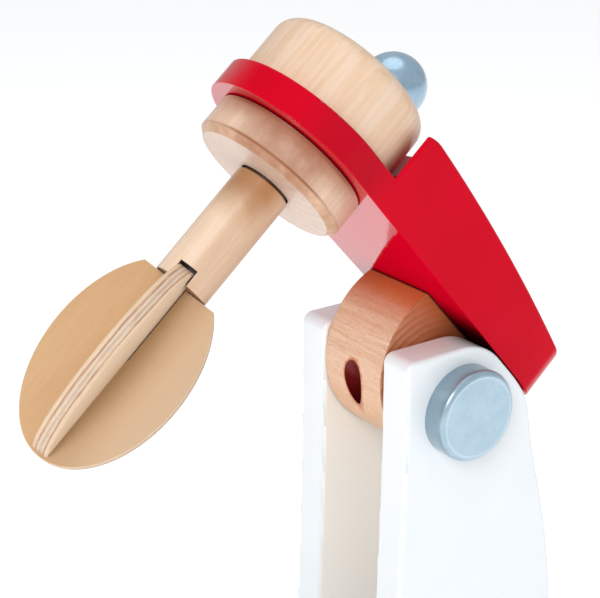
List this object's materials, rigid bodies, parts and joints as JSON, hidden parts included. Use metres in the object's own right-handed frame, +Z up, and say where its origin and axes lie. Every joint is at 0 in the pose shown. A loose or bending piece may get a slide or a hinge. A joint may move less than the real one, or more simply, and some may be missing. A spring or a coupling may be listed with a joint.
{
  "type": "toy stand mixer",
  "caption": "Wooden play stand mixer: white stand, red head that tilts on a pivot, crank disc with ball knob and a pull-out crossed-blade beater.",
  "frame": {"origin": "centre of the base board's underside", "axes": "+Z up, mixing head towards -X, pivot axle along Y"},
  "size_m": [0.246, 0.124, 0.33],
  "materials": {
    "white_lacquer": "smooth white lacquer over wood",
    "red_lacquer": "glossy red lacquer over wood",
    "pale_maple": "bare pale wood, fine sanded",
    "neck_beech": "bare orange-brown wood",
    "blade_plywood": "bare plywood with layered edges",
    "blue_metallic": "pale blue metallic paint over wood",
    "plain_plastic": "plain moulded",
    "screw_steel": "zinc plated"
  },
  "bodies": {
    "stand": {"base_board": "white_lacquer", "left_plate": "white_lacquer", "right_plate": "white_lacquer", "spacer_block": "white_lacquer", "spacer_dowels": "neck_beech", "base_screws": "screw_steel", "pivot_axle": "neck_beech", "left_cap": "blue_metallic", "right_cap": "blue_metallic", "neck_washers": "plain_plastic"},
    "head": {"neck_wheel": "neck_beech", "neck_dowels": "neck_beech", "arm": "red_lacquer", "spindle_bushing": "plain_plastic"},
    "spindle": {"upper_disc": "pale_maple", "spindle_sleeve": "pale_maple", "lower_disc": "pale_maple", "spindle_washer": "plain_plastic", "knob_peg": "neck_beech", "ball_knob": "blue_metallic"},
    "beater": {"beater_shank": "pale_maple", "blade_first": "blade_plywood", "blade_second": "blade_plywood"}
  },
  "joints": [
    {"name": "head_tilt", "type": "hinge", "parent": "stand", "child": "head", "pos_m": [0.057, 0, 0.171], "axis": [0, 1, 0], "range_deg": [-49, 0]},
    {"name": "crank_spin", "type": "hinge", "parent": "head", "child": "spindle", "pos_m": [-0.02271, 0, 0.2627], "axis": [0.7547, 0, 0.6561], "continuous": true},
    {"name": "beater_pull", "type": "slide", "parent": "spindle", "child": "beater", "axis": [-0.7547, 0, -0.6561], "range_m": [0, 0.03]}
  ]
}
